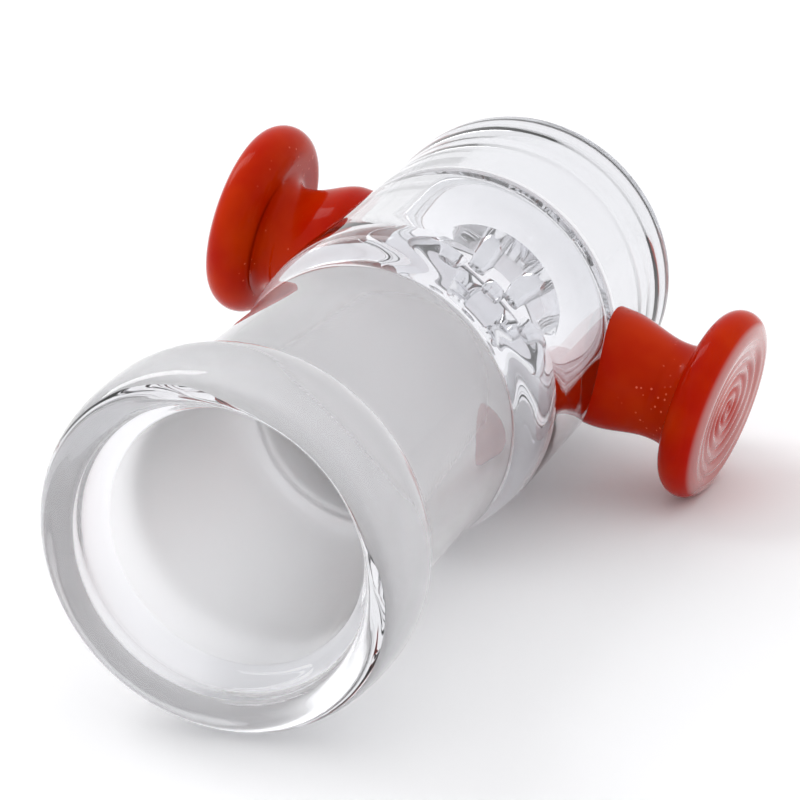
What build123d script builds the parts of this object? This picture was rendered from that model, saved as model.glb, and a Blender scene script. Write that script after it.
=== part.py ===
"""Flame-worked glass filter bowl: ground taper socket, bowl tube, fused glass screen, two red knobs.

The bowl lies on its side, as it is put down on a bench, on its rim bead and on its right knob.
Millimetres. +Y runs along the tube from the socket's mouth to the bowl's lip, +X points to the
right knob's side and +Z up. The origin is on the bench, below the middle of the tube.
A station is a distance along the tube, measured from the socket's front face.
"""
import os
from math import asin, atan2, cos, degrees, hypot, radians, sin

from build123d import *

# Whole object
total_length = 62.0
bead_radius = 13.5
axis_height = bead_radius
tube_radius = 12.35
bore_radius = 10.0
weld_station = 36.0

# Ground socket 19/26: 18.8 mm across the large end, 26 mm long, taper 1 in 10 on the diameter
ground_start = 4.0
ground_length = 26.0
ground_large_radius = 9.4
ground_taper = 0.1
ground_end = ground_start + ground_length
ground_small_radius = ground_large_radius - ground_length * ground_taper / 2
ground_relief_end = 32.4

# Mouth, rim bead and neck of the socket blank
mouth_radius = 10.7
mouth_station = 1.1
mouth_flare_station = 2.6
bead_front_radius = 12.0
bead_front_pull = 13.35
bead_station = 4.4
bead_fall_station = 7.6
bead_end = 9.8
neck_front_radius = 11.25
neck_back_radius = 11.1
neck_end = 23.5
shoulder_middle = 29.5

# Fire-polished lip of the bowl, swollen a little, with a narrow flat ring to stand it on
lip_radius = 12.6
lip_swell_start = 56.0
lip_round_start = 61.0
lip_flat_outer_radius = 11.8
lip_flat_inner_radius = 10.6

# Perforated screen fused across the bore: a thin web at the wall and a thick domed core
screen_front = 44.5
screen_back = 50.7
core_radius = 6.5
core_side_station = 45.7
core_pull = 5.6
web_front = 48.5
web_back = 49.6
web_inner_radius = 8.9
wall_front = 47.9
wall_back = 50.2
screen_hole_radius = 0.75
screen_ring_radius = 3.2
screen_ring_holes = 6
screen_ring_turn = 40.0

# Knobs: distances are measured outwards from the tube's axis, lean is towards the socket,
# and each stem stands a little nearer to the socket than the middle of its head
knob_start = 9.6
knob_fillet = 1.2
knob_overlap = 0.6

left_station = 52.4
left_stem_station = 50.9
left_lean = 0.0
left_foot_radius = 5.8
left_foot_end = 12.0
left_neck_radius = 4.2
left_neck_at = 16.6
left_head_inner = 17.8
left_head_outer = 21.9
left_head_radius = 8.0

right_station = 50.3
right_stem_station = 49.5
right_lean = 5.0
right_foot_radius = 4.8
right_foot_end = 12.4
right_neck_radius = 4.0
right_neck_at = 17.2
right_head_inner = 19.2
right_head_outer = 22.4
right_head_radius = 7.7

middle = total_length / 2
tube_axis = Axis((0, 0, axis_height), (0, 1, 0))
lathe_plane = Plane.XY.offset(axis_height)


def at(station):
    """Y of a station along the tube."""
    return station - middle


def across(station):
    """Plane square to the tube at a station, facing the bowl's lip."""
    return Plane(origin=(0, at(station), axis_height), x_dir=(1, 0, 0), z_dir=(0, 1, 0))


def knob_dip():
    """Angle that the knobs' line makes with the bench when the right head's edge rests on it."""
    half = (right_head_outer - right_head_inner) / 2
    reach = (right_head_outer - half) * cos(radians(right_lean))
    edge = right_head_radius - half
    return degrees(asin((axis_height - half) / hypot(reach, edge)) - atan2(edge, reach))


def knob_plane(side, station, lean):
    """Plane through the tube's axis with x out along a knob's line; side is 1 right, -1 left."""
    dip = radians(knob_dip())
    tilt = radians(lean)
    outward = Vector(side * cos(dip) * cos(tilt), -sin(tilt), -side * sin(dip) * cos(tilt))
    upright = Vector(sin(dip), 0, cos(dip))
    return Plane(origin=(0, at(station), axis_height), x_dir=outward, z_dir=outward.cross(upright))


# Socket blank: rim bead, ground socket, neck and the shoulder up to the weld
with BuildPart() as joint_socket:
    with BuildSketch(lathe_plane):
        with BuildLine():
            Bezier(
                (mouth_radius, at(mouth_station)),
                (mouth_radius, at(0)),
                (bead_front_radius, at(0)),
            )
            Bezier(
                (bead_front_radius, at(0)),
                (bead_front_pull, at(0)),
                (bead_radius, at(bead_station / 2)),
                (bead_radius, at(bead_station)),
            )
            Bezier(
                (bead_radius, at(bead_station)),
                (bead_radius, at(bead_fall_station)),
                (neck_front_radius, at(bead_fall_station)),
                (neck_front_radius, at(bead_end)),
            )
            Line((neck_front_radius, at(bead_end)), (neck_back_radius, at(neck_end)))
            Bezier(
                (neck_back_radius, at(neck_end)),
                (neck_back_radius, at(shoulder_middle)),
                (tube_radius, at(shoulder_middle)),
                (tube_radius, at(weld_station)),
            )
            Line((tube_radius, at(weld_station)), (bore_radius, at(weld_station)))
            Bezier(
                (bore_radius, at(weld_station)),
                (bore_radius, at(ground_relief_end)),
                (ground_small_radius, at(ground_relief_end)),
                (ground_small_radius, at(ground_end)),
            )
            Line((ground_small_radius, at(ground_end)), (ground_large_radius, at(ground_start)))
            Bezier(
                (ground_large_radius, at(ground_start)),
                (ground_large_radius, at(mouth_flare_station)),
                (mouth_radius, at(mouth_flare_station)),
                (mouth_radius, at(mouth_station)),
            )
        make_face()
    revolve(axis=tube_axis)

# Bowl tube: straight thick-walled tube from the weld to the fire-polished lip
with BuildPart() as bowl_tube:
    with BuildSketch(lathe_plane):
        with BuildLine():
            Line((bore_radius, at(weld_station)), (tube_radius, at(weld_station)))
            Line((tube_radius, at(weld_station)), (tube_radius, at(lip_swell_start)))
            Bezier(
                (tube_radius, at(lip_swell_start)),
                (tube_radius, at((lip_swell_start + lip_round_start) / 2)),
                (lip_radius, at((lip_swell_start + lip_round_start) / 2)),
                (lip_radius, at(lip_round_start)),
            )
            Bezier(
                (lip_radius, at(lip_round_start)),
                (lip_radius, at(total_length)),
                (lip_flat_outer_radius, at(total_length)),
            )
            Line((lip_flat_outer_radius, at(total_length)), (lip_flat_inner_radius, at(total_length)))
            Bezier(
                (lip_flat_inner_radius, at(total_length)),
                (bore_radius, at(total_length)),
                (bore_radius, at(lip_round_start)),
            )
            Line((bore_radius, at(lip_round_start)), (bore_radius, at(weld_station)))
        make_face()
    revolve(axis=tube_axis)

# Perforated screen: a turned web and core, one hole in the middle and a ring of holes round it
with BuildPart() as screen_disc:
    with BuildSketch(lathe_plane):
        with BuildLine():
            Line((0, at(screen_back)), (0, at(screen_front)))
            Bezier(
                (0, at(screen_front)),
                (core_pull, at(screen_front)),
                (core_radius, at(core_side_station)),
                (core_radius, at(web_front)),
            )
            Line((core_radius, at(web_front)), (web_inner_radius, at(web_front)))
            Bezier(
                (web_inner_radius, at(web_front)),
                (bore_radius, at(web_front)),
                (bore_radius, at(wall_front)),
            )
            Line((bore_radius, at(wall_front)), (bore_radius, at(wall_back)))
            Bezier(
                (bore_radius, at(wall_back)),
                (bore_radius, at(web_back)),
                (web_inner_radius, at(web_back)),
            )
            Bezier(
                (web_inner_radius, at(web_back)),
                (core_radius, at(web_back)),
                (core_radius, at(screen_back)),
                (0, at(screen_back)),
            )
        make_face()
    revolve(axis=tube_axis)
    with BuildSketch(across(screen_front)):
        Circle(screen_hole_radius)
        with PolarLocations(screen_ring_radius, screen_ring_holes, start_angle=screen_ring_turn):
            Circle(screen_hole_radius)
    extrude(amount=screen_back - screen_front, mode=Mode.SUBTRACT)


def stem_outline(foot, foot_end, neck, neck_at, inner):
    """Half outline of a knob's stem: straight foot, waist and a small flare into the head."""
    third = (neck_at - foot_end) / 3
    end = inner + knob_overlap
    Line((knob_start, 0), (knob_start, foot))
    Line((knob_start, foot), (foot_end, foot))
    Bezier((foot_end, foot), (foot_end + third, foot), (neck_at - third, neck), (neck_at, neck))
    Bezier((neck_at, neck), (inner, neck), (inner, neck + knob_fillet))
    Line((inner, neck + knob_fillet), (end, neck + knob_fillet))
    Line((end, neck + knob_fillet), (end, 0))
    Line((end, 0), (knob_start, 0))


def head_outline(inner, outer, head):
    """Half outline of a knob's head: a flat disc with a round edge."""
    half = (outer - inner) / 2
    Line((inner, 0), (inner, head - half))
    ThreePointArc((inner, head - half), (inner + half, head), (outer, head - half))
    Line((outer, head - half), (outer, 0))
    Line((outer, 0), (inner, 0))


# Left knob, which points up and away from the bench
left_plane = knob_plane(-1, left_station, left_lean)
left_stem_plane = knob_plane(-1, left_stem_station, left_lean)
with BuildPart() as left_knob:
    with BuildSketch(left_stem_plane):
        with BuildLine():
            stem_outline(
                left_foot_radius,
                left_foot_end,
                left_neck_radius,
                left_neck_at,
                left_head_inner,
            )
        make_face()
    revolve(axis=Axis(left_stem_plane.origin, left_stem_plane.x_dir))
    with BuildSketch(left_plane):
        with BuildLine():
            head_outline(left_head_inner, left_head_outer, left_head_radius)
        make_face()
    revolve(axis=Axis(left_plane.origin, left_plane.x_dir))
    with BuildSketch(across(0)):
        Circle(tube_radius)
    extrude(amount=total_length, mode=Mode.SUBTRACT)

# Right knob, whose head rests on the bench
right_plane = knob_plane(1, right_station, right_lean)
right_stem_plane = knob_plane(1, right_stem_station, right_lean)
with BuildPart() as right_knob:
    with BuildSketch(right_stem_plane):
        with BuildLine():
            stem_outline(
                right_foot_radius,
                right_foot_end,
                right_neck_radius,
                right_neck_at,
                right_head_inner,
            )
        make_face()
    revolve(axis=Axis(right_stem_plane.origin, right_stem_plane.x_dir))
    with BuildSketch(right_plane):
        with BuildLine():
            head_outline(right_head_inner, right_head_outer, right_head_radius)
        make_face()
    revolve(axis=Axis(right_plane.origin, right_plane.x_dir))
    with BuildSketch(across(0)):
        Circle(tube_radius)
    extrude(amount=total_length, mode=Mode.SUBTRACT)

joint_socket.part.label = "joint_socket"
bowl_tube.part.label = "bowl_tube"
screen_disc.part.label = "screen_disc"
left_knob.part.label = "left_knob"
right_knob.part.label = "right_knob"

os.makedirs("parts", exist_ok=True)
export_step(joint_socket.part, "parts/joint_socket.step")
export_step(bowl_tube.part, "parts/bowl_tube.step")
export_step(screen_disc.part, "parts/screen_disc.step")
export_step(left_knob.part, "parts/left_knob.step")
export_step(right_knob.part, "parts/right_knob.step")

print("knobs dip", round(knob_dip(), 2), "degrees")
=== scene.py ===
# %% [markdown]
# # A flame-worked glass filter bowl
#
# The object is a short piece of laboratory glass: a socket with a ground, frosted bore, a clear tube
# with a perforated glass screen melted across it, and two red glass knobs. A glass worker fused the
# pieces in the flame, so the real thing is one body of glass, but each piece keeps its own name here.
#
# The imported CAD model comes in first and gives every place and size. Each Blender piece is then
# worked out as a smooth surface that fills the CAD piece it stands for.

# %% The frame
from math import asin, atan2, cos, hypot, pi, radians, sin

import bpy
import numpy as np
from mathutils import Matrix, Vector


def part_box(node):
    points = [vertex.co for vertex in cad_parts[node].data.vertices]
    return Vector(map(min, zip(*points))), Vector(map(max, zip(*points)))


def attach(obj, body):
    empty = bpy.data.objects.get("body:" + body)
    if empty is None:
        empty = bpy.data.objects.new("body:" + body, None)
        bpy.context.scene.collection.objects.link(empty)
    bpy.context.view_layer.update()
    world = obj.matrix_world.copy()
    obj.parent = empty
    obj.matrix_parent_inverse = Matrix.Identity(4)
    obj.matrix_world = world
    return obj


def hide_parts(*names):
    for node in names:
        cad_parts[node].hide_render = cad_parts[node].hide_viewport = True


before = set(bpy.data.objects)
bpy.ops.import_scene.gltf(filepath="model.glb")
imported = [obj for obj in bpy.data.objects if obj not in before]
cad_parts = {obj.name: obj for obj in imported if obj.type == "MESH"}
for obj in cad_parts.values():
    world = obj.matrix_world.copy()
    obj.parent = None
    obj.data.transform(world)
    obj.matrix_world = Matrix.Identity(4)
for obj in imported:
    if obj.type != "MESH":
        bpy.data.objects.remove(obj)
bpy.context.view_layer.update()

# %% [markdown]
# Glass is blown and turned in millimetres, so the lesson works in millimetres and `mm` turns them
# into Blender's metres. The main sizes are read off the CAD pieces: the rim bead gives the height of
# the tube's axis, and the seam between socket and tube gives the weld. A *station* is a distance
# along the tube from the socket's front face.

# %% Main sizes from the CAD pieces
mm = 0.001
socket_low, socket_high = (np.array(corner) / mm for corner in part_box("joint_socket"))
tube_low, tube_high = (np.array(corner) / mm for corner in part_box("bowl_tube"))
screen_low, screen_high = (np.array(corner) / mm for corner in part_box("screen_disc"))

axis_height = (socket_low[2] + socket_high[2]) / 2
bead_radius = (socket_high[0] - socket_low[0]) / 2
lip_radius = (tube_high[0] - tube_low[0]) / 2
bore_radius = (screen_high[0] - screen_low[0]) / 2
tube_radius = 12.35

front = socket_low[1]
weld = tube_low[1] - front
lip = tube_high[1] - front
screen_front = screen_low[1] - front
screen_back = screen_high[1] - front
tube_start = np.array([0, front, axis_height])
print("length", round(lip, 2), "mm, weld at", round(weld, 2), "mm, rim radius", round(bead_radius, 2))

# %% [markdown]
# ## Outlines
#
# A blown or turned piece is an outline carried round an axis. Hot glass pulls itself into soft,
# swollen curves, and a Bezier curve needs only two to four control points for each of them. The whole
# curve comes out of the Bernstein formula as one array, with no loop over its points.

# %% Bezier curves
BERNSTEIN = {2: (1, 1), 3: (1, 2, 1), 4: (1, 3, 3, 1)}


def bezier(*controls, steps=20):
    """Sum over k of C(n, k) t^k (1 - t)^(n - k) times control k, for t from 0 up to but not at 1."""
    t = np.linspace(0, 1, steps, endpoint=False)[:, None]
    n = len(controls) - 1
    weights = [c * t**k * (1 - t) ** (n - k) for k, c in enumerate(BERNSTEIN[n + 1])]
    return sum(weight * np.array(control) for weight, control in zip(weights, controls))


def smooth(low, high, value):
    """Smoothstep: 3 w^2 - 2 w^3 of the share w of the way from low to high, held at 0 and 1 outside."""
    w = np.clip((value - low) / (high - low), 0, 1)
    return w * w * (3 - 2 * w)


# %% [markdown]
# Each (radius, station) point of an outline becomes a ring of points round the tube's axis.

# %% Rings round the tube
def turn(outline, turns=240, middle=(0, 0)):
    """Ring i, point j: middle + radius_i (cos a_j, sin a_j) across the tube, at station_i along it."""
    angle = np.linspace(0, 2 * pi, turns, endpoint=False)
    radius, station = outline[:, :1], outline[:, 1:]
    x = middle[0] + radius * np.cos(angle)
    z = middle[1] + radius * np.sin(angle)
    return np.stack([x, np.broadcast_to(station, x.shape), z], -1) + tube_start


# %% [markdown]
# ## From rings to a solid
#
# Neighbouring rings are joined by four-sided faces. Faces have to look outwards, because glass bends
# light by asking which side of a face is inside. The sign of the enclosed volume tells whether they
# do: each face and the origin span a small pyramid, which counts as negative if the face looks
# inwards.

# %% Faces and volume
def ring_quads(rows, turns, closed):
    """Quads between neighbouring points (i, j), (i + 1, j), (i + 1, j + 1), (i, j + 1) of the rings."""
    i, j = np.meshgrid(np.arange(rows if closed else rows - 1), np.arange(turns), indexing="ij")
    below, right = (i + 1) % rows, (j + 1) % turns
    corners = (i * turns + j, below * turns + j, below * turns + right, i * turns + right)
    return np.stack(corners, -1).reshape(-1, 4)


def six_volumes(points, faces):
    """Six times the signed volume under the faces: a . (b x c), summed over their triangles."""
    a = points[faces[:, 0]]
    later = range(1, faces.shape[1] - 1)
    pairs = [np.cross(points[faces[:, k]], points[faces[:, k + 1]]) for k in later]
    return sum((a * pair).sum() for pair in pairs)


# %% [markdown]
# `foreach_set` takes whole arrays, so a piece is one call for its points and two for its faces. An
# outline that runs back to its own start needs no ends. An open one, such as a knob's, is closed with
# a single pole point and a fan of triangles at each end. A piece that turns out to enclose a negative
# volume has the order of every face's corners reversed.

# %% Solids
def solid(name, rings, closed=False, sharp=50):
    """A smooth, closed, outward-facing object from rings of points in millimetres."""
    rows, turns = rings.shape[:2]
    points = rings.reshape(-1, 3)
    groups = [ring_quads(rows, turns, closed)]
    if not closed:
        points = np.concatenate([points, rings[[0, -1]].mean(1)])
        here = np.arange(turns)
        onward = (here + 1) % turns
        last = (rows - 1) * turns
        pole = np.full(turns, rows * turns)
        groups.append(np.stack([pole, here, onward], -1))
        groups.append(np.stack([pole + 1, last + onward, last + here], -1))
    if sum(six_volumes(points, faces) for faces in groups) < 0:
        groups = [faces[:, ::-1] for faces in groups]
    corners = np.concatenate([faces.ravel() for faces in groups])
    sizes = np.concatenate([np.full(len(faces), faces.shape[1]) for faces in groups])
    mesh = bpy.data.meshes.new(name)
    mesh.vertices.add(len(points))
    mesh.vertices.foreach_set("co", np.float32(points * mm).ravel())
    mesh.loops.add(len(corners))
    mesh.loops.foreach_set("vertex_index", np.int32(corners))
    mesh.polygons.add(len(sizes))
    mesh.polygons.foreach_set("loop_start", np.int32(np.cumsum(sizes) - sizes))
    mesh.update(calc_edges=True)
    mesh.shade_smooth()
    mesh.set_sharp_from_angle(angle=radians(sharp))
    piece = bpy.data.objects.new(name, mesh)
    bpy.context.scene.collection.objects.link(piece)
    return piece


# %% [markdown]
# ## Marks for the finishes
#
# Some things about the glass depend on the place: where it's ground rough, where two pieces are fused
# so that there's no surface between them, and where the tint or the sheen changes. Each is stored on
# the mesh as an attribute, worked out from where a point or face lies along and across the tube, and
# the materials read it.

# %% Marks
def mark(piece, name, domain, rule):
    """Stores rule(station, distance off the tube's axis, place) on each POINT or FACE of a piece."""
    cells = piece.data.vertices if domain == "POINT" else piece.data.polygons
    place = np.empty(len(cells) * 3, np.float32)
    cells.foreach_get("co" if domain == "POINT" else "center", place)
    place = place.reshape(-1, 3) / mm - tube_start
    values = rule(place[:, 1], np.hypot(place[:, 0], place[:, 2]), place)
    store = piece.data.attributes.new(name, "FLOAT", domain)
    store.data.foreach_set("value", np.float32(values))
    print(piece.name, len(piece.data.polygons), "faces,", int(np.sum(values > 0)), "marked", name)


# %% [markdown]
# ## The ground socket
#
# The bore is a cone that narrows by 1 in 10 across, ground with grit so that it grips and seals on a
# cone of the same taper. The rim is gathered into a thick bead, and behind the neck the glass swells
# to the width of the bowl. One closed outline goes round the bead, along the neck, over the shoulder,
# across the weld, and back through the bore.

# %% Socket
mouth, mouth_at, mouth_back = 10.7, 1.1, 2.6
front_edge, front_pull = 12.0, 13.35
bead_at, bead_falls, neck_at = 4.4, 7.6, 9.8
ground_wide, ground_start = 9.4, 4.0
ground_narrow, ground_end = 8.1, 30.0
neck_front, neck_back = 11.25, 11.1
neck_end, shoulder, relief = 23.5, 29.5, 32.4

socket_outline = np.concatenate([
    bezier((mouth, mouth_at), (mouth, 0), (front_edge, 0)),
    bezier((front_edge, 0), (front_pull, 0), (bead_radius, bead_at / 2), (bead_radius, bead_at)),
    bezier(
        (bead_radius, bead_at), (bead_radius, bead_falls), (neck_front, bead_falls), (neck_front, neck_at)
    ),
    bezier((neck_front, neck_at), (neck_back, neck_end), steps=30),
    bezier(
        (neck_back, neck_end), (neck_back, shoulder), (tube_radius, shoulder), (tube_radius, weld), steps=30
    ),
    bezier((tube_radius, weld), (bore_radius, weld), steps=1),
    bezier((bore_radius, weld), (bore_radius, relief), (ground_narrow, relief), (ground_narrow, ground_end)),
    bezier((ground_narrow, ground_end), (ground_wide, ground_start), steps=60),
    bezier((ground_wide, ground_start), (ground_wide, mouth_back), (mouth, mouth_back), (mouth, mouth_at)),
])
socket_glass = solid("socket_glass", turn(socket_outline), closed=True)


# %% [markdown]
# The weld's faces are marked `fused`. The grinding tool leaves the cone rough from end to end, and
# the roughness fades out within a third of a millimetre, so `ground` is a product of two smooth
# steps.

# %% Socket marks
ground_fade = 0.3


def on_weld(station, off, place):
    """1 on the flat ring of faces at the weld's station."""
    return np.abs(station - weld) < 0.001


def in_cone(station, off, place):
    """1 on the ground cone, which lies inside the neck's wall, fading at both of its ends."""
    inside = off < (ground_wide + neck_back) / 2
    starts = smooth(ground_start - ground_fade, ground_start, station)
    stops = smooth(ground_end + ground_fade, ground_end, station)
    return inside * starts * stops


mark(socket_glass, "fused", "FACE", on_weld)
mark(socket_glass, "ground", "POINT", in_cone)

# %% [markdown]
# ## The knobs' places
#
# Each knob stands on its own line out of the tube's axis. The bowl lies on its bead and on the edge
# of the right knob's head, so that head has to touch the bench: the dip angle solves the height of
# the head's lowest point for zero. The stems stand a little nearer to the socket than the heads.
# `foot`, `waist` and `head` are radii, and `foot_end`, `waist_at`, `inner` and `outer` are distances
# out from the tube's axis along the knob's line. The lean is in degrees.

# %% Knob sizes
LEFT = {
    "side": -1, "station": 52.4, "stem_station": 50.9, "lean": 0.0, "foot": 5.8, "foot_end": 12.0,
    "waist": 4.2, "waist_at": 16.6, "inner": 17.8, "outer": 21.9, "head": 8.0,
}
RIGHT = {
    "side": 1, "station": 50.3, "stem_station": 49.5, "lean": 5.0, "foot": 4.8, "foot_end": 12.4,
    "waist": 4.0, "waist_at": 17.2, "inner": 19.2, "outer": 22.4, "head": 7.7,
}


def knob_dip(outer, inner, head, lean):
    """Angle between the bench and the knobs' line: asin(height / span) less the head edge's own angle."""
    half = (outer - inner) / 2
    reach, edge = (outer - half) * cos(radians(lean)), head - half
    return asin((axis_height - half) / hypot(reach, edge)) - atan2(edge, reach)


dip = knob_dip(*(RIGHT[size] for size in ("outer", "inner", "head", "lean")))
print("knobs dip", round(dip * 180 / pi, 2), "degrees")


def knob_axes(side, lean):
    """Unit vectors out along a knob's line, up across it, and square to both."""
    tilt = radians(lean)
    outward = np.array([side * cos(dip) * cos(tilt), -sin(tilt), -side * sin(dip) * cos(tilt)])
    upright = np.array([sin(dip), 0, cos(dip)])
    return outward, upright, np.cross(outward, upright)


# %% [markdown]
# ## The bowl tube
#
# A straight thick-walled tube, whose lip was softened in the flame until it rounded and swelled a
# little. Three stretches of its skin aren't there on the real piece because other glass is fused to
# them: the weld, the band where the screen is melted in, and the two footprints of the knobs. The
# outline has points exactly at the band's edges so that whole faces can be marked.

# %% Bowl tube
lip_start, lip_round = 56.0, 61.0
flat_outside, flat_inside = 11.8, 10.6
wall_front, wall_back = 47.9, 50.2
swell = (lip_start + lip_round) / 2

bowl_outline = np.concatenate([
    bezier((tube_radius, weld), (tube_radius, lip_start), steps=80),
    bezier((tube_radius, lip_start), (tube_radius, swell), (lip_radius, swell), (lip_radius, lip_round)),
    bezier((lip_radius, lip_round), (lip_radius, lip), (flat_outside, lip)),
    bezier((flat_outside, lip), (flat_inside, lip), steps=3),
    bezier((flat_inside, lip), (bore_radius, lip), (bore_radius, lip_round)),
    bezier((bore_radius, lip_round), (bore_radius, wall_back), steps=20),
    bezier((bore_radius, wall_back), (bore_radius, wall_front), steps=6),
    bezier((bore_radius, wall_front), (bore_radius, weld), steps=30),
    bezier((bore_radius, weld), (tube_radius, weld), steps=1),
])
bowl_glass = solid("bowl_glass", turn(bowl_outline), closed=True)


# %% [markdown]
# A face of the tube belongs to a knob's footprint when it's nearer to the knob's line than the foot
# is wide. A quarter of a millimetre is held back, so that the mark never shows beyond the foot.
# `along` fades the socket's light tint into the tube's own, so that no border shows at the weld.

# %% Bowl marks
held_back = 0.25
tint_fade = 12


def under_knob(place, side, stem_station, lean, foot, **rest):
    """Whether the distance from a place to a knob's line is less than its foot's radius."""
    outward = knob_axes(side, lean)[0]
    away = place - np.array([0, stem_station, 0])
    out = away @ outward
    return (out > 0) & (np.linalg.norm(away - out[:, None] * outward, axis=1) < foot - held_back)


def on_bowl_seams(station, off, place):
    """1 on the weld, on the bore's band at the screen, and under both knobs."""
    band = (off < bore_radius + 0.01) & (station > wall_front) & (station < wall_back)
    feet = under_knob(place, **LEFT) | under_knob(place, **RIGHT)
    return on_weld(station, off, place) | band | (feet & (off > tube_radius - 0.01))


def along_tube(station, off, place):
    """A smooth step from 0 at the weld to 1 twelve millimetres along the tube."""
    return smooth(weld, weld + tint_fade, station)


mark(bowl_glass, "fused", "FACE", on_bowl_seams)
mark(bowl_glass, "along", "POINT", along_tube)

# %% [markdown]
# ## The perforated screen
#
# The screen is a thick domed core of glass with seven channels, joined to the tube's wall by a thin
# web whose edges drew up the wall a little as they fused. The body is one more turned outline. The
# channels were pierced hot from the bowl's side, so each is a slender cone, and a Boolean modifier
# subtracts the seven of them at once.

# %% Screen body
core_radius, core_side, core_pull = 6.5, 45.7, 5.6
web_front, web_back, web_inside = 48.5, 49.6, 8.9

screen_outline = np.concatenate([
    bezier(
        (0, screen_front), (core_pull, screen_front), (core_radius, core_side), (core_radius, web_front),
        steps=40,
    ),
    bezier((core_radius, web_front), (web_inside, web_front), steps=10),
    bezier((web_inside, web_front), (bore_radius, web_front), (bore_radius, wall_front), steps=12),
    bezier((bore_radius, wall_front), (bore_radius, wall_back), steps=6),
    bezier((bore_radius, wall_back), (bore_radius, web_back), (web_inside, web_back), steps=12),
    bezier(
        (web_inside, web_back), (core_radius, web_back), (core_radius, screen_back), (0, screen_back),
        steps=40,
    ),
])[1:]
screen_glass = solid("screen_glass", turn(screen_outline, turns=180))
print("screen", round(screen_back - screen_front, 2), "mm thick in the middle")

# %% [markdown]
# Each cone is a solid of its own, a millimetre too long at both ends so that it breaks through. The
# modifiers are applied by taking the evaluated mesh, and the cones are thrown away.

# %% Channels
channel_front, channel_back = 0.66, 0.84
CHANNELS_ROUND, CHANNEL_RING, CHANNEL_TURN = 6, 3.2, radians(20)
channel_outline = bezier((channel_front, screen_front - 1), (channel_back, screen_back + 1), steps=12)
ring_angles = CHANNEL_TURN + np.linspace(0, 2 * pi, CHANNELS_ROUND, endpoint=False)
middles = [(0, 0)] + [(CHANNEL_RING * cos(a), CHANNEL_RING * sin(a)) for a in ring_angles]
needles = [solid(f"needle_{n}", turn(channel_outline, 32, m)) for n, m in enumerate(middles)]
for needle in needles:
    pierce = screen_glass.modifiers.new(needle.name, "BOOLEAN")
    pierce.operation = "DIFFERENCE"
    pierce.solver = "EXACT"
    pierce.object = needle

bpy.context.view_layer.update()
pierced = screen_glass.evaluated_get(bpy.context.evaluated_depsgraph_get())
pierced_mesh = bpy.data.meshes.new_from_object(pierced)
screen_glass.modifiers.clear()
screen_glass.data = pierced_mesh
for needle in needles:
    bpy.data.objects.remove(needle)
pierced_mesh.shade_smooth()
pierced_mesh.set_sharp_from_angle(angle=radians(30))
print(len(needles), "channels pierced")

# %% [markdown]
# The screen's rim lies against the tube's bore and is fused to it. `core` is 1 on all of the screen
# and nowhere else, so that one clear glass serves the tube and the screen with two tints.

# %% Screen marks
def on_rim(station, off, place):
    """1 on the screen's rim, which is fused to the bore."""
    return off > bore_radius - 0.02


def in_core(station, off, place):
    """1 over the whole screen."""
    return np.ones(len(off))


mark(screen_glass, "fused", "FACE", on_rim)
mark(screen_glass, "core", "POINT", in_core)

# %% [markdown]
# ## The knobs
#
# A knob is a stub of red rod stood on the tube, waisted, and pressed flat into a head. Its foot has
# to follow the round of the tube, so each line of the stem starts where its distance from the tube's
# axis equals the tube's radius. That's found by stepping out by the error that's left, for a whole
# row of lines at once.

# %% Stems
weld_gap = 0.02
knob_turns = 160
knob_angle = np.linspace(0, 2 * pi, knob_turns, endpoint=False)


def seat(radius, outward, around):
    """t where the line at this radius meets the tube's skin: t grows by the missing distance."""
    t = np.full(np.shape(radius), tube_radius)
    for _ in range(20):
        x, _, z = np.moveaxis(t[..., None] * outward + radius[..., None] * around, -1, 0)
        t = t + tube_radius + weld_gap - np.hypot(x, z)
    return t


def stem_rings(outward, around, foot, foot_end, waist, waist_at, **rest):
    """Radius and t of the saddle under the foot, and then of the stem up to its waist."""
    saddle_r = np.linspace(0, foot, 12, endpoint=False)[1:, None] + 0 * knob_angle
    saddle_t = seat(saddle_r, outward, around)
    skin_t = seat(np.full(knob_turns, foot), outward, around)
    share = np.linspace(0, 1, 30, endpoint=False)[:, None]
    stem_t = skin_t + (waist_at - skin_t) * share
    stem_r = foot + (waist - foot) * smooth(foot_end, waist_at, stem_t)
    return np.concatenate([saddle_r, stem_r]), np.concatenate([saddle_t, stem_t])


# %% [markdown]
# The head's outline runs from the waist through a fillet to the inner face, round the edge, and over
# the outer face to the middle. The face still shows the winding of the rod as a shallow spiral, a
# cosine of the radius less the angle: one turn round the face moves it by one pitch. The face is
# also dished by a third of a millimetre, and the head is a little oval.

# %% Heads
spiral_pitch, spiral_depth = 1.15, 0.13
spiral_wander, face_dish, head_oval = 0.35, 0.3, 0.012
knob_fillet = 1.2
flare_steps, inner_steps = 10, 10


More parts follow.
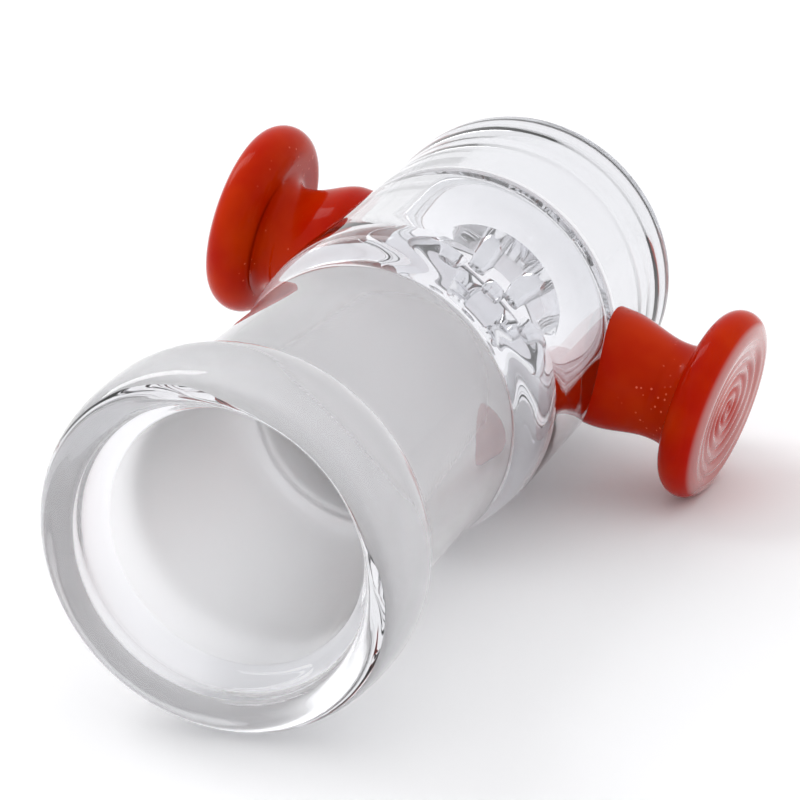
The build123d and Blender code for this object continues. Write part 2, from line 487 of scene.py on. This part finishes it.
def head_rings(waist, waist_at, inner, outer, head, **rest):
    """Radius and t of the head, from the waist round its edge and over the grooved face."""
    half = (outer - inner) / 2
    flat = head - half
    swing = np.linspace(0, pi, 24, endpoint=False)
    flare = bezier((waist, waist_at), (waist, inner), (waist + knob_fillet, inner), steps=flare_steps)
    inner_face = bezier((waist + knob_fillet, inner), (flat, inner), steps=inner_steps)
    edge = np.stack([flat + half * np.sin(swing), outer - half - half * np.cos(swing)], -1)
    outer_face = bezier((flat, outer), (0, outer), steps=64)
    outline = np.concatenate([flare, inner_face, edge, outer_face])
    r, t = outline[:, :1] + 0 * knob_angle, outline[:, 1:] + 0 * knob_angle

    on_face = (np.arange(len(outline)) >= len(outline) - len(outer_face))[:, None]
    reach = np.clip(1 - (r / flat) ** 2, 0, 1)
    groove = 0.5 - 0.5 * np.cos(2 * pi * r / spiral_pitch - knob_angle)
    wander = 1 + spiral_wander * np.sin(3 * knob_angle + 0.9 * r)
    t = t - on_face * (spiral_depth * groove * wander * smooth(0, 0.3, reach) + face_dish * reach)
    r = r * (1 - head_oval * (1 - np.cos(2 * knob_angle + 0.7)))
    return r, t


# %% [markdown]
# Ring i of a knob stands t_i out along its line, with a radius r_i. The stem's rings are centred on
# the stem's station, the head's on the head's, and the inner face slides from one to the other.

# %% Knobs
def knob(name, side, station, stem_station, lean, **sizes):
    """A knob with its stem's and head's rings, each centred on its own station."""
    outward, upright, sideways = knob_axes(side, lean)
    around = np.cos(knob_angle)[:, None] * upright + np.sin(knob_angle)[:, None] * sideways
    stem_r, stem_t = stem_rings(outward, around, **sizes)
    head_r, head_t = head_rings(**sizes)
    r = np.concatenate([stem_r, head_r])
    t = np.concatenate([stem_t, head_t])

    still = len(stem_t) + flare_steps
    shift = np.clip(1 - (np.arange(len(t)) - still) / inner_steps, 0, 1)[:, None]
    stem_shift = np.array([0, stem_station - station, 0])
    centre = np.array([0, station, 0]) + shift * stem_shift + tube_start
    return solid(name, centre[:, None] + t[..., None] * outward + r[..., None] * around, sharp=45)


left_knob_glass = knob("left_knob_glass", **LEFT)
right_knob_glass = knob("right_knob_glass", **RIGHT)


# %% [markdown]
# Glass rod traps strings of tiny bubbles, and a flame gathers them at the waist. `waist` marks how
# near each point is to its knob's waist, for the bubbles in the material. `pressed` marks the flat
# outer face, where the material paints a pale sheen into the colour and adds a glossy coat.

# %% Knob marks
waist_reach = 3


def waist_rule(side, stem_station, lean, waist_at, **rest):
    """A rule that is 1 at the knob's waist and 0 three millimetres from it along the line."""
    outward = knob_axes(side, lean)[0]

    def rule(station, off, place):
        """One less the distance from the waist, as a share of three millimetres."""
        out = (place - np.array([0, stem_station, 0])) @ outward
        return np.clip(1 - np.abs(out - waist_at) / waist_reach, 0, 1)

    return rule


def pressed_rule(side, station, lean, outer, **rest):
    """A rule that is 1 on the pressed outer face, and 0 from half a millimetre behind it."""
    outward = knob_axes(side, lean)[0]
    head_place = np.array([0, station, 0])

    def rule(station, off, place):
        """A smooth step of the distance out along the knob's line."""
        return smooth(outer - 0.5, outer - 0.15, (place - head_place) @ outward)

    return rule


for piece, sizes in ((left_knob_glass, LEFT), (right_knob_glass, RIGHT)):
    mark(piece, "waist", "POINT", waist_rule(**sizes))
    mark(piece, "pressed", "POINT", pressed_rule(**sizes))

# %% [markdown]
# ## Shader sums
#
# A material is a small calculation. `Wire` wraps an output socket, so that an expression such as
# `1 - mask` adds the Math nodes it needs. Any other node comes from `node`, which sets the node's
# own settings first, because they decide which sockets it has.

# %% Wires
class Wire:
    """A node's output socket that takes part in Python sums."""

    def __init__(self, socket):
        self.socket = socket
        self.tree = socket.id_data

    def node(self, kind, settings, inputs, output=0):
        """Adds a node with its settings and then the values or links of its sockets."""
        made = self.tree.nodes.new(kind)
        for setting, value in settings.items():
            setattr(made, setting, value)
        for socket, value in inputs.items():
            if isinstance(value, Wire):
                self.tree.links.new(value.socket, made.inputs[socket])
            else:
                made.inputs[socket].default_value = value
        return Wire(made.outputs[output])

    def sum(self, operation, first, second):
        """A Math node on two values."""
        return self.node("ShaderNodeMath", {"operation": operation}, {0: first, 1: second})

    def __add__(self, other):
        return self.sum("ADD", self, other)

    def __radd__(self, other):
        return self.sum("ADD", other, self)

    def __sub__(self, other):
        return self.sum("SUBTRACT", self, other)

    def __rsub__(self, other):
        return self.sum("SUBTRACT", other, self)

    def __mul__(self, other):
        return self.sum("MULTIPLY", self, other)

    def __rmul__(self, other):
        return self.sum("MULTIPLY", other, self)

    def between(self, low, high):
        """Smooth step from 0 at low to 1 at high."""
        return self.node(
            "ShaderNodeMapRange",
            {"interpolation_type": "SMOOTHSTEP"},
            {"Value": self, "From Min": low, "From Max": high},
        )

    def mix(self, first, second):
        """The first colour where this value is 0 and the second where it's 1."""
        settings = {"data_type": "RGBA", "blend_type": "MIX"}
        return self.node("ShaderNodeMix", settings, {0: self, 6: first, 7: second}, 2)

    def scaled(self, x, y, z):
        """These coordinates, times a number along each axis."""
        inputs = {"Vector": self, "Scale": (x, y, z)}
        return self.node("ShaderNodeMapping", {"vector_type": "POINT"}, inputs)

    def noise(self, scale, detail=2.0):
        """Noise at these coordinates, with about `scale` lumps in a metre."""
        inputs = {"Vector": self, "Scale": scale, "Detail": detail}
        return self.node("ShaderNodeTexNoise", {"noise_dimensions": "3D"}, inputs, "Fac")

    def bump(self, strength, distance):
        """The normal of a surface whose height this value gives, in units of the distance."""
        inputs = {"Height": self, "Strength": strength, "Distance": distance}
        return self.node("ShaderNodeBump", {}, inputs)


# %% [markdown]
# Every finish is a Principled material. What never varies is set on its sockets by name, with an
# underscore for each space, and what varies is a wire that starts from the piece's own coordinates or
# from one of its marks.

# %% Finishes
def new_finish(name, **constants):
    """A Principled material, with what never varies set on the shader's own sockets."""
    finish = bpy.data.materials.new(name)
    finish.use_nodes = True
    shader = finish.node_tree.nodes["Principled BSDF"]
    for socket, value in constants.items():
        shader.inputs[socket.replace("_", " ")].default_value = value
    return finish, shader


def own_place(finish):
    """The Object coordinates of a finish, in metres."""
    return Wire(finish.node_tree.nodes.new("ShaderNodeTexCoord").outputs["Object"])


def read_mark(place, name):
    """The mark of that name on the piece that wears the finish, or 0 where it has none."""
    return place.node("ShaderNodeAttribute", {"attribute_name": name}, {}, "Fac")


def feed(shader, **wires):
    """Links each wire to the shader's socket of that name."""
    for socket, wire in wires.items():
        wire.tree.links.new(wire.socket, shader.inputs[socket.replace("_", " ")])


# %% [markdown]
# ## Clear glass
#
# Hard laboratory glass bends light a little less than window glass, with an index of 1.474, and has
# almost no colour. The tints are greyer than the glass itself. They stand in for a grey room seen
# through it, and are deepest towards the tube's lip and lighter in the screen. Drawing a tube leaves
# its skin slightly wavy, so the waviness is noise that's squeezed across the tube and stretched
# along it. Where the `fused` mark is 1 the surface is left out through Alpha.

# %% Clear glass
SOCKET_TINT = (0.92, 0.923, 0.94, 1)
GLASS_TINT = (0.765, 0.77, 0.79, 1)
GLASS_TINT_THICK = (0.735, 0.74, 0.765, 1)
CORE_TINT = (0.89, 0.893, 0.91, 1)
GLASS_INDEX = 1.474
WAVES_ACROSS, WAVES_ALONG = 260, 60
WAVE_STRENGTH, WAVE_HEIGHT = 0.5, 0.05 * mm


def drawn_waves(place):
    """The height of the drawn tube's waves, from 0 to 1."""
    return place.scaled(WAVES_ACROSS, WAVES_ALONG, WAVES_ACROSS).noise(1.0, 1.0)


clear_glass, shader = new_finish("clear_glass", Transmission_Weight=1.0, IOR=GLASS_INDEX)
place = own_place(clear_glass)
fused = read_mark(place, "fused")
core = read_mark(place, "core")
along = read_mark(place, "along")
cloud = place.noise(90, 2.0)
wall_tint = cloud.between(0.35, 0.7).mix(GLASS_TINT, GLASS_TINT_THICK)
feed(
    shader,
    Base_Color=core.mix(along.mix(SOCKET_TINT, wall_tint), CORE_TINT),
    Roughness=0.02 * cloud.between(0.55, 0.8),
    Alpha=1 - fused,
    Normal=drawn_waves(place).bump(WAVE_STRENGTH, WAVE_HEIGHT),
)

# %% [markdown]
# ## Clear glass with a ground cone
#
# The socket is the same glass, but its cone scatters light from a skin of tiny pits. The pits are
# finer than a tenth of a millimetre, so roughness stands for most of them, and a fine noise makes
# the larger ones just visible as grain. The grinder went round and round, so the roughness also
# varies in faint rings along the tube.

# %% Ground glass
GROUND_TINT = (1.0, 1.0, 1.0, 1)
socket_finish, shader = new_finish("socket_glass", Transmission_Weight=1.0, IOR=GLASS_INDEX)
place = own_place(socket_finish)
fused = read_mark(place, "fused")
ground = read_mark(place, "ground")
cloud = place.noise(90, 2.0)
rings = place.scaled(0, 900, 0).noise(1.0, 2.0)
grain = place.noise(6000, 1.0)
feed(
    shader,
    Base_Color=(ground + 0.1 * cloud).between(0.0, 1.0).mix(SOCKET_TINT, GROUND_TINT),
    Roughness=ground * (0.62 + 0.12 * rings) + 0.02 * cloud.between(0.55, 0.8),
    Alpha=1 - fused,
    Normal=(drawn_waves(place) + 0.04 * (ground * grain)).bump(WAVE_STRENGTH, WAVE_HEIGHT),
)

# %% [markdown]
# ## Red glass
#
# The knobs are an opaque, saturated red glass. Thick parts look deeper and thin edges glow more
# orange, so a slow noise moves the colour between the two. Seeds and strings of bubbles show as pale
# specks round the waist: the distance to the nearest point of a Voronoi pattern, cut off small. The
# pressed face has a painted sheen, a pale colour mixed in for the white room's reflection, and a glossy
# coat.

# %% Red glass
RED_DEEP = (0.41, 0.004, 0.0, 1)
RED_WARM = (0.53, 0.030, 0.0, 1)
# Painted sheen: a pale pink mixed into the pressed face's colour, standing for the white room's reflection.
FACE_PAINTED_SHEEN = (0.46, 0.32, 0.31, 1)
BUBBLE = (0.80, 0.16, 0.09, 1)
PAINTED_SHEEN_SHARE = 0.4
SEEDS_IN_A_METRE = 1900.0
red_glass, shader = new_finish(
    "red_glass", IOR=1.5, Specular_IOR_Level=0.05, Coat_Roughness=0.15, Coat_IOR=1.7
)
place = own_place(red_glass)
pressed = read_mark(place, "pressed")
waist = read_mark(place, "waist")
swirl = place.noise(140, 3.0)
seeds = place.node(
    "ShaderNodeTexVoronoi", {"feature": "F1"}, {"Vector": place, "Scale": SEEDS_IN_A_METRE}, "Distance"
)
cluster = place.noise(420, 1.0).between(0.56, 0.66)
bubbles = (1 - seeds.between(0.12, 0.22)) * cluster * waist.between(0.1, 0.7)
glow = swirl.between(0.25, 0.75).mix(RED_DEEP, RED_WARM)
bubbled = bubbles.mix(glow, BUBBLE)
feed(
    shader,
    # The pale mix on the pressed face is painted sheen, a painted reflection of the white room.
    Base_Color=(PAINTED_SHEEN_SHARE * pressed).mix(bubbled, FACE_PAINTED_SHEEN),
    Roughness=0.09 + 0.12 * swirl.between(0.4, 0.8),
    Coat_Weight=pressed * (0.85 + 0.15 * swirl),
    Normal=(swirl + 0.4 * bubbles).bump(0.35, 0.12 * mm),
)

# %% [markdown]
# ## Dressing the pieces
#
# Each piece takes its finish, rides on the one rigid body, and stands for its CAD node.

# %% Dressing
for piece, finish, node, slot in (
    (socket_glass, socket_finish, "joint_socket", "socket_glass"),
    (bowl_glass, clear_glass, "bowl_tube", "clear_glass"),
    (screen_glass, clear_glass, "screen_disc", "clear_glass"),
    (left_knob_glass, red_glass, "left_knob", "red_glass"),
    (right_knob_glass, red_glass, "right_knob", "red_glass"),
):
    piece.data.materials.clear()
    piece.data.materials.append(finish)
    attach(piece, "root")
    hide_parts(node)
    print(piece.name, "stands for", node)

# %% [markdown]
# ## The bench
#
# Clear glass shows what's behind it, so it lies on white. The bench is a wide sheet of matte white
# card with the faintest cloudiness.

# %% Bench
half_bench = 4000
CARD_CLOUD = (0.94, 0.94, 0.945, 1)
CARD_WHITE = (0.955, 0.955, 0.96, 1)
corners = np.array([[-1, -1, 0], [1, -1, 0], [1, 1, 0], [-1, 1, 0]]) * half_bench * mm
bench_mesh = bpy.data.meshes.new("bench")
bench_mesh.from_pydata(corners.tolist(), [], [(0, 1, 2, 3)])
bench = bpy.data.objects.new("bench", bench_mesh)
bpy.context.scene.collection.objects.link(bench)
card, shader = new_finish("white_card", Specular_IOR_Level=0.1)
place = own_place(card)
feed(
    shader,
    Base_Color=place.noise(20, 3.0).between(0.3, 0.7).mix(CARD_CLOUD, CARD_WHITE),
    Roughness=0.8 + 0.1 * place.noise(200, 2.0),
)
bench_mesh.materials.append(card)
print("bench", 2 * half_bench, "mm wide")

# %% [markdown]
# ## Light
#
# The studio is white on all sides except behind the camera, where the room is grey. The grey side
# keeps the red saturated and draws soft streaks in the glass. The world's colour depends on the
# direction: the dot product with the way to the grey side, through a smooth step.

# %% World
azimuth, elevation, roll = radians(23.27), radians(20.82), radians(4.5)
ROOM_WHITE = (1.0, 1.0, 1.01, 1)
ROOM_GREY = (0.72, 0.72, 0.73, 1)
grey_side = Vector((sin(azimuth), -cos(azimuth), 0.25)).normalized()
world = bpy.data.worlds.new("studio")
bpy.context.scene.world = world
world.use_nodes = True
backdrop = world.node_tree.nodes["Background"]
direction = Wire(world.node_tree.nodes.new("ShaderNodeTexCoord").outputs["Generated"])
facing = direction.node(
    "ShaderNodeVectorMath", {"operation": "DOT_PRODUCT"}, {0: direction, 1: grey_side[:]}, "Value"
)
room = facing.between(0.55, 0.92).mix(ROOM_WHITE, ROOM_GREY)
world.node_tree.links.new(room.socket, backdrop.inputs["Color"])
backdrop.inputs["Strength"].default_value = 1.03


# %% [markdown]
# One tall soft box stands at the upper left, for the long pale highlight down the tube. A light's
# power is its radiance times pi times its area.

# %% Soft box
def soft_box(name, place, size, radiance):
    """An area light that looks at the object: power = radiance x pi x width x height."""
    data = bpy.data.lights.new(name, "AREA")
    data.shape = "RECTANGLE"
    data.size, data.size_y = size
    data.energy = radiance * pi * size[0] * size[1]
    lamp = bpy.data.objects.new(name, data)
    lamp.location = place
    lamp.rotation_euler = Vector(place).to_track_quat("Z", "Y").to_euler()
    bpy.context.scene.collection.objects.link(lamp)
    print(name, round(data.energy, 2), "W")


soft_box("key_box", (-0.75, 0.25, 0.75), (0.30, 0.9), 4.5)

# %% [markdown]
# ## Camera
#
# The camera looks down at the mouth from the front right through a long lens, a little rolled.

# %% Camera
distance = 237.9 * mm
aim = Vector((1.0, 0.2, 13.0)) * mm
back = Vector((sin(azimuth) * cos(elevation), -cos(azimuth) * cos(elevation), sin(elevation)))
camera = bpy.data.objects.new("camera", bpy.data.cameras.new("camera"))
camera.data.lens = 144
camera.data.sensor_width = 36
camera.data.clip_start = 10 * mm
camera.location = aim + back * distance
level = back.to_track_quat("Z", "Y").to_matrix()
camera.rotation_euler = (level @ Matrix.Rotation(-roll, 3, "Z")).to_euler()
bpy.context.scene.collection.objects.link(camera)
bpy.context.scene.camera = camera
bpy.context.scene.view_settings.view_transform = "Standard"
print("camera at", [round(v, 3) for v in camera.location])
